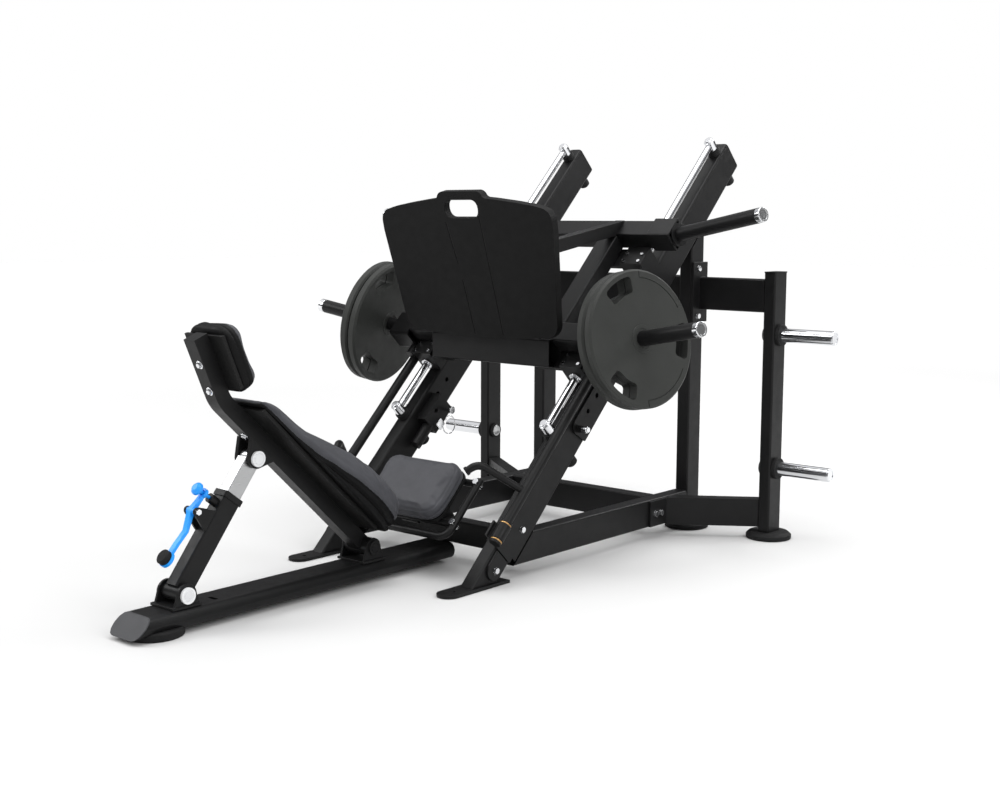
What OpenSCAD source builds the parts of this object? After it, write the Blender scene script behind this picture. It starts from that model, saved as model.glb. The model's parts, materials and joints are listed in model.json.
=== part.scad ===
// Plate-loaded 45 degree leg press. Units are millimetres, +Z is up.
// +X points to the user's left when seated, +Y runs from the low end to the high end.
// The origin is on the floor at the middle of the machine's outline.

/* [Frame] */
// Lateral distance from the middle to a rail's outer face
rail_out = 371; // [371:1:374]
// Length of each inclined rail
rail_len = 1816; // [1800:1:1816]
// Wall thickness of the frame tubes
wall = 4; // [3:0.5:5]
// Length of the storage pegs outside their uprights
peg_len = 217; // [180:1:217]

/* [Sled] */
// Radius of the weight sleeves and storage pegs
sleeve_r = 25; // [24:0.5:25]
// Length of the weight sleeves
sleeve_len = 386; // [360:1:386]
// Thickness of the moulded footplate
plate_t = 28; // [22:1:28]

/* [Weights] */
// Radius of a loaded weight plate
disc_r = 225; // [200:1:225]
// Thickness of a loaded weight plate
disc_t = 34.8; // [30:0.2:34.8]

/* [Upholstery] */
// Thickness of the seat padding
seat_pad_t = 55; // [45:1:60]
// Thickness of the head padding
head_pad_t = 58; // [50:1:62]

/* [Hidden] */
$fn = 48;
eps = 0.01;

// rails
rail_y = -118;
rail_z = 138;
rail_w = 57;
rail_d = 117;
rail_in = rail_out - rail_w;
back_line = -90.5;
rod_x = 343;
rod_off = 44;
rod_r = 12.5;
rod_lo = 423;
rod_hi = 1766;

// stop pin holes along the rails
stop_ss = [499, 575, 643];
stop_off = -53;

// base frame
nose_y = -1252.4;
flat_w = 140;
flat_z0 = 12;
flat_h = 55;
flat_top = flat_z0 + flat_h;
side_z0 = 45;
side_h = 100;
up_y0 = 946;
up_y1 = 1029;
store_x0 = 650;
store_x1 = 695;
store_y0 = 985;
store_y1 = 1069;
store_top = 958;
peg_y = (store_y0 + store_y1) / 2;
peg_zs = [257, 737];

// backrest
piv_y = -360;
piv_z = 113;
back_tilt = 43.4;
head_bend = 24;
corner = 747.5;
bar_r = 109;

// strut
st_y = -1067;
st_z = 102;
st_tilt = 52.5;
st_len = 440;
lev_a = 214;
lev_n = 88;

// sled
beam_s = 1233;
beam_off = 115;
low_s = 740;
low_y0 = 250;
low_y1 = 320;
low_z0 = 650;
low_z1 = 745;
sleeve_off = 114.5;
tilt = 14.8;
foot_tilt = 13.2;

// shafts
sh_x = 408;
sh_off = 53;
sh_r = 16.5;

black = [0.09, 0.09, 0.1];
chrome = [0.82, 0.83, 0.85];
rubber = [0.05, 0.05, 0.05];
vinyl = [0.28, 0.28, 0.3];

// ---------- helpers ----------
module on_rail() {
    translate([0, rail_y, rail_z]) rotate([45, 0, 0]) children();
}

module on_back() {
    translate([0, piv_y, piv_z]) rotate([0, 0, 180]) rotate([back_tilt, 0, 0]) children();
}

module on_head() {
    on_back() translate([0, corner, 0]) rotate([head_bend, 0, 0]) children();
}

module on_strut() {
    translate([0, st_y, st_z]) rotate([st_tilt, 0, 0]) children();
}

module on_foot() {
    translate([0, 212, 735]) rotate([90 + foot_tilt, 0, 0]) children();
}

module both() {
    children();
    mirror([1, 0, 0]) children();
}

module box(x0, x1, y0, y1, z0, z1) {
    translate([x0, y0, z0]) cube([x1 - x0, y1 - y0, z1 - z0]);
}

// rounded rectangle outline as points, centred
function round_pts(w, h, r, n = 3) = [for (q = [0:3]) for (i = [0:n])
    let (a = 90 * q + 90 * i / n, sx = (q == 0 || q == 3) ? 1 : -1, sy = q < 2 ? 1 : -1)
    [sx * (w / 2 - r) + r * cos(a), sy * (h / 2 - r) + r * sin(a)]];

// arc points
function arc_pts(cx, cy, r, a0, a1, n) = [for (i = [0:n])
    let (a = a0 + (a1 - a0) * i / n) [cx + r * cos(a), cy + r * sin(a)]];

// upright lug outline: flat base on y = 0, round top about (0, h)
function lug_pts(w, h, r) = concat([[-w / 2, 0], [w / 2, 0]], arc_pts(0, h, r, 0, 180, 12));

module tube_2d(w, h, r, t) {
    difference() {
        polygon(round_pts(w, h, r));
        polygon(round_pts(w - 2 * t, h - 2 * t, max(r - t, 1)));
    }
}

// tube along +Y, centred on the axis, starting at y0
module tube_y(w, h, y0, y1, r = 7, t = wall) {
    translate([0, y1, 0]) rotate([90, 0, 0]) linear_extrude(y1 - y0) tube_2d(w, h, r, t);
}

module tube_x(d, h, x0, x1, r = 7, t = wall) {
    translate([x0, 0, 0]) rotate([90, 0, 90]) linear_extrude(x1 - x0) tube_2d(d, h, r, t);
}

module tube_z(w, d, z0, z1, r = 7, t = wall) {
    translate([0, 0, z0]) linear_extrude(z1 - z0) tube_2d(w, d, r, t);
}

module rod_x_axis(r, x0, x1) {
    translate([x0, 0, 0]) rotate([0, 90, 0]) cylinder(r = r, h = x1 - x0);
}

module rod_y_axis(r, y0, y1) {
    translate([0, y1, 0]) rotate([90, 0, 0]) cylinder(r = r, h = y1 - y0);
}

// round bar between two points
module bar(a, b, r) {
    d = b - a;
    translate(a)
        rotate([0, acos(d[2] / norm(d)), atan2(d[1], d[0])])
            cylinder(r = r, h = norm(d));
}

// outline in the Y-Z plane, extruded along X
module side_cut(x0, x1, pts) {
    translate([x0, 0, 0]) rotate([90, 0, 90]) linear_extrude(x1 - x0) polygon(pts);
}

// ---------- base frame ----------
module centre_rail() {
    color(black) difference() {
        translate([0, 0, flat_z0 + flat_h / 2]) tube_y(flat_w, flat_h, nose_y + 2, 3, 26);
        side_cut(-100, 100, [[nose_y - 90, flat_z0 - 50], [nose_y + 6 - 50, flat_z0 - 50],
            [nose_y + 6 + flat_h + 50, flat_top + 50], [nose_y - 90, flat_top + 50]]);
        translate([20, -958, 40]) linear_extrude(40) polygon(round_pts(36, 14, 6));
    }
}

module rail_nose() {
    color([0.75, 0.76, 0.78]) intersection() {
        translate([0, 0, flat_z0 + flat_h / 2]) tube_y_solid(flat_w, flat_h, nose_y - 5, -1100, 26);
        side_cut(-100, 100, [[nose_y - 50, flat_z0 - 50], [nose_y + 6 - 50, flat_z0 - 50],
            [nose_y + 6 + flat_h + 50, flat_top + 50], [nose_y + flat_h + 50, flat_top + 50]]);
    }
}

module tube_y_solid(w, h, y0, y1, r) {
    translate([0, y1, 0]) rotate([90, 0, 0]) linear_extrude(y1 - y0) polygon(round_pts(w, h, r));
}

module front_foot() {
    color(rubber) difference() {
        translate([0, -1147, 0]) rotate_extrude()
            polygon([[0, 0], [84, 0], [86, 3], [86, 20], [82, 25], [0, 25]]);
        translate([0, 0, flat_z0 + flat_h / 2]) tube_y_solid(flat_w, flat_h, -1300, -1000, 26);
        side_cut(-100, 100, [[nose_y - 90, flat_z0], [nose_y + 20, flat_z0],
            [nose_y + 60, 60], [nose_y - 90, 60]]);
    }
}

module cross_beams() {
    color(black) {
        translate([0, 23, 106]) tube_x(60, 78, -rail_in, rail_in);
        translate([0, 783, 95]) tube_x(60, side_h, -rail_in, rail_in);
    }
}

module side_beams() {
    color(black) both() difference() {
        translate([(rail_in + rail_out) / 2, 0, side_z0 + side_h / 2])
            tube_y(rail_w, side_h, -80, up_y0);
        side_cut(rail_in - 5, rail_out + 5, [[-300, side_z0 - 10], [side_z0 - 10 + back_line, side_z0 - 10],
            [side_z0 + side_h + 10 + back_line, side_z0 + side_h + 10], [-300, side_z0 + side_h + 10]]);
    }
}

module guide_rails() {
    color(black) both() difference() {
        on_rail() translate([(rail_in + rail_out) / 2, 0, -rail_d / 2])
            tube_y(rail_w, rail_d, 0, rail_len, 10);
        on_rail() for (s = stop_ss) translate([0, s, stop_off]) rod_x_axis(8.4, 300, 390);
    }
}

module rail_caps() {
    color(rubber) both() on_rail() translate([(rail_in + rail_out) / 2, 0, -rail_d / 2]) {
        tube_y_solid(rail_w, rail_d, rail_len, rail_len + 3, 12);
        tube_y_solid(rail_w - 4, rail_d - 4, rail_len + 3, rail_len + 5, 10);
    }
}

module rail_legs() {
    color(black) both() difference() {
        on_rail() translate([rail_out - 26, 0, -42]) tube_y(52, 84, -280, 0, 7);
        box(0, 500, -700, 200, -200, 10);
    }
}

module foot_plates() {
    color(black) both() difference() {
        union() {
            box(306, 383, -320, -77, 0, 10);
            translate([344.5, -320, 0]) cylinder(r = 38.5, h = 10);
        }
        translate([345, -300, -1]) cylinder(r = 6.5, h = 12);
    }
}

module lap_plates() {
    color(black) both() {
        on_rail() translate([rail_out, 0, 0]) rotate([90, 0, 90]) linear_extrude(8)
            polygon(concat([[-28, -76], [-28, -8]], arc_pts(-80, -42, 34, 90, 270, 8)));
        on_rail() translate([rail_out + 8, -78, -46]) rotate([0, 90, 0]) cylinder(r = 11, h = 7, $fn = 6);
    }
}

module rear_uprights() {
    color(black) both() difference() {
        translate([345, (up_y0 + up_y1) / 2, 0]) tube_z(52, up_y1 - up_y0, 25, 1150);
        side_cut(300, 400, [[up_y0 - 20, up_y0 - 20 - back_line], [up_y1 + 20, up_y1 + 20 - back_line],
            [up_y1 + 20, 1300], [up_y0 - 20, 1300]]);
    }
}

module rear_top_beam() {
    color(black) translate([0, 983, 880]) tube_x(54, 120, -319, 319);
}

module storage_uprights() {
    color(black) both() {
        difference() {
            translate([(store_x0 + store_x1) / 2, peg_y, 0])
                tube_z(store_x1 - store_x0, store_y1 - store_y0, 25, store_top);
            for (z = peg_zs) translate([0, peg_y, z]) rod_x_axis(sleeve_r - 1, 640, 710);
        }
        translate([(store_x0 + store_x1) / 2, peg_y, store_top])
            linear_extrude(4) polygon(round_pts(store_x1 - store_x0 + 4, store_y1 - store_y0 + 4, 9));
    }
}

module upper_links() {
    color(black) both() {
        translate([0, 1007, 876]) tube_x(42, 118, rail_out + 10, store_x0);
        box(rail_out, rail_out + 10, 946, 1040, 770, 990);
        for (z = [793, 966]) translate([rail_out + 10, 978, z]) rotate([0, 90, 0])
            cylinder(r = 11, h = 8, $fn = 6);
    }
}

module lower_links() {
    run = store_x0 - rail_out - 9;
    slope = 0.7055;
    y0 = 800;
    color(black) both() {
        translate([0, 0, 42]) difference() {
            linear_extrude(100) polygon([[rail_out + 9, y0], [store_x0, y0 + slope * run],
                [store_x0, y0 + slope * run + 61], [rail_out + 9, y0 + 61]]);
            translate([0, 0, wall]) linear_extrude(100 - 2 * wall)
                polygon([[rail_out + 9 - eps, y0 + wall], [store_x0 + eps, y0 + slope * run + wall],
                    [store_x0 + eps, y0 + slope * run + 61 - wall], [rail_out + 9 - eps, y0 + 61 - wall]]);
        }
        box(rail_out, rail_out + 9, 700, 884, 47, 140);
        for (y = [731, 765]) translate([rail_out + 9, y, 92]) rotate([0, 90, 0])
            cylinder(r = 11, h = 8, $fn = 6);
    }
}

module disc_feet() {
    color(rubber) both() for (p = [[345, 987.5], [672.5, peg_y]]) translate([p[0], p[1], 0])
        rotate_extrude() polygon([[0, 0], [79, 0], [81, 3], [81, 15], [70, 25], [0, 25]]);
}

module storage_pegs() {
    color(chrome) both() for (z = peg_zs) translate([0, peg_y, z]) {
        rod_x_axis(sleeve_r - 1, store_x0, store_x1 + 14);
        difference() {
            union() {
                rod_x_axis(sleeve_r, store_x1 + 14, store_x1 + peg_len - 4);
                rod_x_axis(sleeve_r - 2, store_x1 + peg_len - 4, store_x1 + peg_len);
            }
            rod_x_axis(sleeve_r - 7, store_x1 + peg_len - 2, store_x1 + peg_len + 1);
        }
    }
}

module peg_collars() {
    color(rubber) both() for (z = peg_zs) translate([0, peg_y, z]) {
        difference() {
            rod_x_axis(38, store_x1, store_x1 + 14);
            rod_x_axis(sleeve_r - 1, store_x1 - 1, store_x1 + 15);
        }
        rod_x_axis(30, store_x0 - 10, store_x0);
    }
}

module guide_rods() {
    color(chrome) both() difference() {
        on_rail() translate([rod_x, 0, rod_off]) rod_y_axis(rod_r, rod_lo, rod_hi);
        on_rail() for (s = [rod_lo, rod_hi]) translate([rod_x, s, 0]) cylinder(r = 19, h = 90);
    }
}

module rod_posts() {
    color(chrome) both() on_rail() for (s = [rod_lo, rod_hi]) translate([rod_x, s, 0]) {
        translate([0, 0, 24]) cylinder(r = 19, h = 38);
        translate([0, 0, 62]) cylinder(r = 13, h = 8);
    }
}

module rod_buffers() {
    color(rubber) both() on_rail() for (s = [rod_lo, rod_hi]) translate([rod_x, s, 0]) {
        cylinder(r = 24, h = 24);
        translate([0, 0, -rail_d - 28]) cylinder(r = 21, h = 28);
        translate([0, 0, -rail_d - 34]) cylinder(r1 = 14, r2 = 21, h = 6);
    }
}

// ---------- stops on the rails ----------
module stop_plates() {
    color(black) both() on_rail() difference() {
        union() {
            translate([rail_out, 0, 0]) rotate([90, 0, 90]) linear_extrude(7)
                polygon(concat([[705, -22], [508, -22]], arc_pts(508, -52, 30, 90, 210, 6),
                    [[494, -114], [705, -114]]));
            for (i = [0:6]) translate([0, stop_ss[0], stop_off])
                rod_x_axis(i % 2 == 0 ? 13 : 11.5, rail_out + 6.9 + 3 * i, rail_out + 10 + 3 * i);
        }
        for (s = stop_ss) translate([0, s, stop_off]) rod_x_axis(8.4, 360, 410);
    }
}

module stop_bodies() {
    color(black) both() on_rail() {
        difference() {
            box(rail_in - 42, rail_in, 440, 560, -112, -30);
            translate([0, stop_ss[0], stop_off]) rod_x_axis(8.4, 200, rail_in + 1);
        }
        translate([rail_in - 24, 352, -74]) rotate([-90, 0, 0]) cylinder(r = 20, h = 88);
    }
}

module stop_pin() {
    color(chrome) on_rail() translate([0, stop_ss[0], stop_off]) {
        rod_x_axis(8, rail_in - 30, rail_out + 29);
        rod_x_axis(11.5, rail_out + 28.3, rail_out + 47);
        rod_x_axis(9, rail_out + 47, rail_out + 51);
    }
}

module stop_hardware() {
    color(chrome) both() on_rail() {
        box(rail_in - 62, rail_in - 42, 452, 484, -106, -74);
        translate([0, 536, -91]) rod_x_axis(6, rail_in - 62, rail_in - 42);
        translate([0, 536, -91]) rod_x_axis(14, rail_in - 74, rail_in - 62);
    }
}

module stop_pin_r() { stop_pin(); }

module stop_pin_l() { mirror([1, 0, 0]) stop_pin(); }

// ---------- pivots on the centre rail ----------
module clevis(y, z, half, t, w, base0, base1, pin_r, lug_r) {
    difference() {
        union() {
            box(-half - t - 4, half + t + 4, base0, base1, flat_top, flat_top + 8);
            for (x = [-half - t, half]) translate([x, y, flat_top + 8]) rotate([90, 0, 90])
                linear_extrude(t) polygon(lug_pts(w, z - flat_top - 8, lug_r));
        }
        translate([0, y, z]) rod_x_axis(pin_r, -half - t - 1, half + t + 1);
    }
}

module clevises() {
    color(black) {
        clevis(piv_y, piv_z, 48, 9, 82, piv_y - 48, piv_y + 48, 10, 30);
        clevis(st_y, st_z, 40, 9, 84, st_y - 52, st_y + 46, 10, 33);
    }
}

module pivot_pin(y, z, half, cap_r) {
    translate([0, y, z]) {
        rod_x_axis(9.99, -half, half);
        both() difference() {
            rod_x_axis(cap_r, half, half + 8);
            rod_x_axis(cap_r - 6, half + 6.5, half + 9);
        }
        both() rod_x_axis(cap_r - 9, half + 6, half + 8);
    }
}

module pivot_pins() {
    color(chrome) {
        pivot_pin(piv_y, piv_z, 57, 23);
        pivot_pin(st_y, st_z, 49, 23.5);
    }
}

// ---------- seat ----------
module seat_frame() {
    color(black) {
        on_rail() both() {
            bar([0, -45, 40], [165, -45, 40], 12.5);
            translate([165, -10, 40]) rotate([0, 0, -90]) rotate_extrude(angle = 90)
                translate([35, 0]) circle(r = 12.5);
            bar([200, -10, 40], [200, 186, 40], 12.5);
            bar([0, 8, 40], [196, 8, 40], 12);
            bar([0, 169, 40], [196, 169, 40], 12);
            for (s = [8, 169]) box(84, 124, s - 11, s + 11, 44, 57);
        }
        on_rail() box(-38, 38, -4, 181, 20, 30);
        difference() {
            on_rail() box(-25, 25, 84, 124, -200, 21);
            box(-100, 100, -300, 400, -100, 145);
        }
    }
}

module seat_clamps() {
    color(chrome) both() on_rail() for (s = [8, 169]) difference() {
        union() {
            translate([200, s, 22]) cylinder(r = 8, h = 36);
            translate([200, s, 50]) cylinder(r = 10.5, h = 9);
        }
        translate([200, 0, 40]) rod_y_axis(12.6, -40, 200);
        bar([0, s, 40], [230, s, 40], 12.6);
    }
}

module seat_board() {
    color(black) on_rail() translate([0, 91, 57]) linear_extrude(12)
        polygon(round_pts(326, 208, 46, 6));
}

module seat_pad() {
    color(vinyl) on_rail() translate([0, 91, 69]) linear_extrude(seat_pad_t)
        polygon(round_pts(340, 222, 52, 6));
}

// ---------- safety shaft mounts ----------
module shaft_brackets() {
    color(black) both() on_rail() {
        difference() {
            union() {
                box(rail_out, rail_out + 8, -24, 110, -84, -4);
                box(rail_out, rail_out + 8, -24, 32, -4, 74);
                box(rail_out + 8, sh_x, -24, 32, sh_off - 10, sh_off + 10);
                translate([sh_x, 0, sh_off]) rod_y_axis(22, -24, 32);
            }
            translate([sh_x, 0, sh_off]) rod_y_axis(sh_r + 0.1, -30, 40);
            translate([0, 89, -57]) rod_x_axis(7, 360, 390);
        }
        translate([0, 89, -57]) rod_x_axis(7, rail_out, rail_out + 8);
        translate([rail_out + 8, 89, -57]) rotate([0, 90, 0]) cylinder(r = 11, h = 8, $fn = 6);
    }
}

module shaft_bushes() {
    color([0.7, 0.5, 0.25]) both() on_rail() translate([sh_x, 0, sh_off]) difference() {
        union() {
            rod_y_axis(20, -29, -24);
            rod_y_axis(20, 32, 37);
        }
        rod_y_axis(sh_r + 0.1, -30, 40);
    }
}

// ---------- sled ----------
module sled_beams() {
    color(black) {
        on_rail() translate([0, beam_s, beam_off]) tube_x(70, 70, -400, 400, 5);
        both() on_rail() translate([0, beam_s, beam_off]) tube_x(85, 85, 400, 490, 10, 8);
        translate([0, (low_y0 + low_y1) / 2, (low_z0 + low_z1) / 2])
            tube_x(low_y1 - low_y0, low_z1 - low_z0, -268, 268, 8);
    }
}

module sled_side_beams() {
    color(black) both() difference() {
        on_rail() translate([230, 0, 115]) tube_y(76, 62, 690, beam_s - 35);
        box(100, 300, low_y0, low_y1 + 80, 500, low_z1);
        box(100, 300, low_y0 - 200, low_y0, 500, 900);
    }
}

module sled_arms() {
    color(black) both() on_rail() {
        translate([0, low_s, 127]) tube_x(84, 60, 268, 400);
        translate([0, 730, 115]) tube_x(105, 85, 400, 490, 10, 8);
    }
}

// where the line z = a + k y meets the line z = b + m y
function meet_y(a, k, b, m) = (b - a) / (k - m);

// side outline of the brace, cut square on the footplate's back and on the upper beam
module sled_braces() {
    slope = 0.17;
    top = 1025.8;
    depth = 45;
    back = 1762;
    lean = -1 / tan(foot_tilt);
    face = rail_z - rail_y + 2 * (beam_off + 35) * sin(45);
    ys = [meet_y(top, slope, back, lean), meet_y(top, slope, face, 1),
        meet_y(top - depth, slope, face, 1), meet_y(top - depth, slope, back, lean)];
    color(black) both() side_cut(228, 268, [[ys[0], top + slope * ys[0]], [ys[1], top + slope * ys[1]],
        [ys[2], top - depth + slope * ys[2]], [ys[3], top - depth + slope * ys[3]]]);
}

module footplate() {
    half = concat([[0, 0], [120, 3], [230, 12], [262, 17]], arc_pts(289, 72, 58, -78, -4, 7),
        [[383, 380]], arc_pts(338, 410, 45, -2, 74, 7),
        [[320, 461], [240, 473], [150, 484]], arc_pts(118, 507, 20, -90, -150, 4),
        arc_pts(76.5, 484, 28, 30, 88, 5), [[60, 512], [0, 512]]);
    color(black) on_foot() translate([0, 0, -plate_t]) difference() {
        linear_extrude(plate_t)
            polygon(concat(half, [for (i = [len(half) - 2:-1:1]) [-half[i][0], half[i][1]]]));
        translate([0, 452, -1]) linear_extrude(plate_t + 2) polygon(round_pts(150, 62, 27, 5));
    }
}

module footplate_brackets() {
    color(black) both() for (x = [110, 225]) difference() {
        side_cut(x, x + 10, [[222, low_z1], [318, low_z1], [318, low_z1 + 11], [228, 812], [205, 812]]);
        on_foot() box(-400, 400, -200, 600, -plate_t, 200);
        on_rail() box(191, 400, 690, 1300, 60, 170);
    }
}

module bearing_blocks() {
    color(black) both() for (s = [640, 1110]) {
        difference() {
            on_rail() {
                box(299, 388, s, s + 80, 8, 96);
                box(194, 299, s, s + 80, 70, 84);
            }
            on_rail() translate([rod_x, 0, rod_off]) rod_y_axis(rod_r + 0.3, s - 1, s + 81);
            box(100, 268, low_y0, low_y1, low_z0, low_z1);
        }
        on_rail() for (x = [312, 374]) for (y = [s + 12, s + 46]) translate([x, y, 96])
            cylinder(r = 6, h = 6);
    }
}

module bearing_seals() {
    color(chrome) both() on_rail() translate([rod_x, 0, rod_off]) difference() {
        union() for (s = [632, 720, 1102, 1190]) rod_y_axis(22, s, s + 8);
        rod_y_axis(rod_r + 0.3, 600, 1250);
    }
}

module on_sleeve(s) {
    on_rail() translate([490, s, sleeve_off]) rotate([0, 90 - tilt, 0]) children();
}

module sleeve_flanges() {
    color(black) both() for (s = [low_s, beam_s]) difference() {
        on_sleeve(s) translate([0, 0, -12]) cylinder(r = 40, h = 24);
        on_rail() box(300, 490, 500, 1500, -50, 300);
    }
}

module sleeves() {
    color(black) both() for (s = [low_s, beam_s]) on_sleeve(s)
        translate([0, 0, 12]) cylinder(r = sleeve_r, h = sleeve_len - 32);
}

module sleeve_ends() {
    color(chrome) both() for (s = [low_s, beam_s]) on_sleeve(s) difference() {
        union() {
            translate([0, 0, sleeve_len - 20]) cylinder(r = sleeve_r - 0.3, h = 18);
            translate([0, 0, sleeve_len - 2]) cylinder(r1 = sleeve_r - 0.3, r2 = sleeve_r - 2, h = 2);
        }
        translate([0, 0, sleeve_len - 2]) cylinder(r = sleeve_r - 7, h = 4);
    }
}

// ---------- weight plates ----------
// rounded opening between two radii, half_a degrees to each side of +X
function grip_pts(r0, r1, half_a, c) =
    let (a1 = half_a - asin(c / (r1 - c)), a0 = half_a - asin(c / (r0 + c)))
    concat(arc_pts(0, 0, r1, -a1, a1, 6),
        arc_pts((r1 - c) * cos(a1), (r1 - c) * sin(a1), c, a1, half_a + 90, 5),
        arc_pts((r0 + c) * cos(a0), (r0 + c) * sin(a0), c, half_a + 90, a0 + 180, 5),
        arc_pts(0, 0, r0, a0, -a0, 6),
        arc_pts((r0 + c) * cos(a0), -(r0 + c) * sin(a0), c, 180 - a0, 270 - half_a, 5),
        arc_pts((r1 - c) * cos(a1), -(r1 - c) * sin(a1), c, 270 - half_a, 360 - a1, 5));

// groove along an arc from angle a over span degrees, with a short radial tick to the rim
module rim_groove(a, span, tick, t) {
    rotate([0, 0, a]) rotate_extrude(angle = span) translate([disc_r - 28.5, t - 4]) square([3, 6]);
    rotate([0, 0, tick]) box(disc_r - 28.5, disc_r + 2, -1.5, 1.5, t - 4, t + 2);
}

module weight_disc(z) {
    r = disc_r;
    t = disc_t;
    translate([0, 0, z]) difference() {
        rotate_extrude($fn = 96) polygon([[25.4, 1.5], [33, 1.5], [34, 0], [45, 0], [46, 1.5],
            [r - 7, 1.5], [r, 8], [r, t - 8], [r - 7, t - 1.5], [46, t - 1.5], [45, t], [34, t],
            [33, t - 1.5], [25.4, t - 1.5]]);
        for (a = [39, 159, 279]) rotate([0, 0, a]) translate([0, 0, -1])
            linear_extrude(t + 2) polygon(grip_pts(150, 204, 18, 13));
        rim_groove(72, 58, 130, t);
        rim_groove(313, 59, 313, t);
    }
}

module disc_pair(z) {
    color([0.13, 0.15, 0.14]) on_sleeve(low_s) weight_disc(z);
}

module disc_inner_r() { disc_pair(57.5); }

module disc_outer_r() { disc_pair(92.7); }

module disc_inner_l() { mirror([1, 0, 0]) disc_pair(57.5); }

module disc_outer_l() { mirror([1, 0, 0]) disc_pair(92.7); }

// ---------- backrest ----------
// side outline of a bar that follows the bend, between normal offsets a (rear) and b (front)
function bent_pts(a, b, y0, y1) = concat(
    [[y0, a]],
    arc_pts(bend_y0, bar_r, bar_r - a, -90, -90 + head_bend, 8),
    [[corner + y1 * cos(head_bend) - a * sin(head_bend), y1 * sin(head_bend) + a * cos(head_bend)],
     [corner + y1 * cos(head_bend) - b * sin(head_bend), y1 * sin(head_bend) + b * cos(head_bend)]],
    arc_pts(bend_y0, bar_r, bar_r - b, -90 + head_bend, -90, 8),
    [[y0, b]]);
bend_y0 = corner - bar_r * tan(head_bend / 2);

module backrest_tube() {
    color(black) on_back() difference() {
        union() {
            difference() {
                side_cut(-25, 25, bent_pts(-24, 24, 0, 205));
                side_cut(-25 + wall, 25 - wall, bent_pts(-24 + wall, 24 - wall, 40, 200));
            }
            rod_x_axis(29, -47.7, 47.7);
            for (x = [-34, 20.5]) side_cut(x, x + 13.5,
                concat([[494, -23], [608, -23]], arc_pts(551, -56, 30, -32, -148, 10)));
        }
        rod_x_axis(10.08, -60, 60);
        translate([0, 551, -56]) rod_x_axis(9.99, -60, 60);
    }
    color(chrome) on_back() translate([0, 551, -56]) {
        rod_x_axis(9.99, -34, 34);
        for (k = [-1, 1]) difference() {
            rod_x_axis(23.5, min(k * 34, k * 42), max(k * 34, k * 42));
            rod_x_axis(17.5, min(k * 40.5, k * 44), max(k * 40.5, k * 44));
        }
        for (k = [-1, 1]) rod_x_axis(14.5, min(k * 40, k * 42), max(k * 40, k * 42));
    }
}

module back_board() {
    color(black) on_back() difference() {
        side_cut(-110, 110, [[75, 24], [685, 24], [680, 36], [80, 36]]);
    }
}

module back_pad() {
    front = concat([[40, 36], [690, 36]], arc_pts(672, 50, 18, 0, 90, 4), [[576, 71], [511, 80],
        [411, 111], [307, 142], [220, 156], [150, 158]], arc_pts(92, 82, 75, 75, 190, 7));
    plan = [[10, -92], [34, -124], [80, -150], [160, -160], [220, -160], [690, -125],
        [690, 125], [220, 160], [160, 160], [80, 150], [34, 124], [10, 92]];
    color(vinyl) on_back() intersection() {
        side_cut(-170, 170, front);
        translate([0, 0, 30]) linear_extrude(140)
            polygon([for (p = plan) [p[1], p[0]]]);
    }
}

module head_board() {
    color(black) on_head() side_cut(-85, 85, [[30, 24], [198, 24], [196, 36], [32, 36]]);
}

module head_pad() {
    color(vinyl) on_head() translate([0, 116, 36]) linear_extrude(head_pad_t)
        polygon(round_pts(190, 200, 40, 5));
}

// ---------- strut and its release lever ----------
module strut_tube() {
    color(black) on_strut() difference() {
        union() {
            difference() {
                tube_y_solid(50, 65, 10, 296, 7);
                tube_y_solid(40.9, 55.9, 44, 297, 3);
            }
            rod_x_axis(24, -39.7, 39.7);
            difference() {
                tube_y_solid(58, 73, 296, 314, 8);
                tube_y_solid(40.9, 55.9, 295, 315, 3);
            }
            difference() {
                translate([0, 273, 32]) cylinder(r = 14, h = 28);
                translate([0, 273, 20]) cylinder(r = 5.3, h = 60);
            }
            for (x = [-24.5, 17]) difference() {
                side_cut(x, x + 7.5, concat([[180, 32], [248, 32]], arc_pts(lev_a, lev_n, 12, 12, 168, 6)));
                translate([0, lev_a, lev_n]) rod_x_axis(5, -40, 40);
            }
        }
        rod_x_axis(10.08, -60, 60);
        translate([0, 273, 20]) cylinder(r = 5.3, h = 60);
    }
    color(chrome) on_strut() translate([0, lev_a, lev_n]) {
        rod_x_axis(4.99, -24.5, 24.5);
        for (x = [-32, 24.5]) translate([x, 0, 0]) rotate([0, 90, 0]) cylinder(r = 9, h = 7.5, $fn = 6);
    }
}

module strut_inner() {
    color(chrome) on_strut() difference() {
        union() {
            difference() {
                tube_y_solid(40, 55, 130, st_len - 10, 3);
                tube_y_solid(30, 45, 129, st_len - 30, 2);
            }
            translate([0, st_len, 0]) rod_x_axis(24, -20, 20);
        }
        translate([0, st_len, 0]) rod_x_axis(13.2, -60, 60);
        box(-30, 30, st_len + 22, st_len + 60, -60, 60);
    }
}

module release_lever() {
    color([0.05, 0.2, 0.75]) on_strut() {
        difference() {
            union() {
                side_cut(-9, 9, [[270, 79], [270, 88], [238, 94], [220, 99], [204, 98], [156, 80], [112, 86],
                    [64, 90], [64, 80], [112, 76], [156, 70], [206, 84], [236, 82]]);
                translate([0, 273, 79]) cylinder(r = 15, h = 10);
                translate([0, lev_a, lev_n]) rod_x_axis(10.5, -16.5, 16.5);
            }
            translate([0, 273, 60]) cylinder(r = 8.5, h = 60);
            translate([0, lev_a, lev_n]) rod_x_axis(5.08, -30, 30);
        }
        translate([0, 62, 80]) cylinder(r = 24, h = 10);
    }
    color(rubber) on_strut() translate([0, 62, 90]) {
        cylinder(r = 22, h = 12);
        translate([0, 0, 12]) cylinder(r1 = 22, r2 = 17, h = 4);
    }
}

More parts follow.
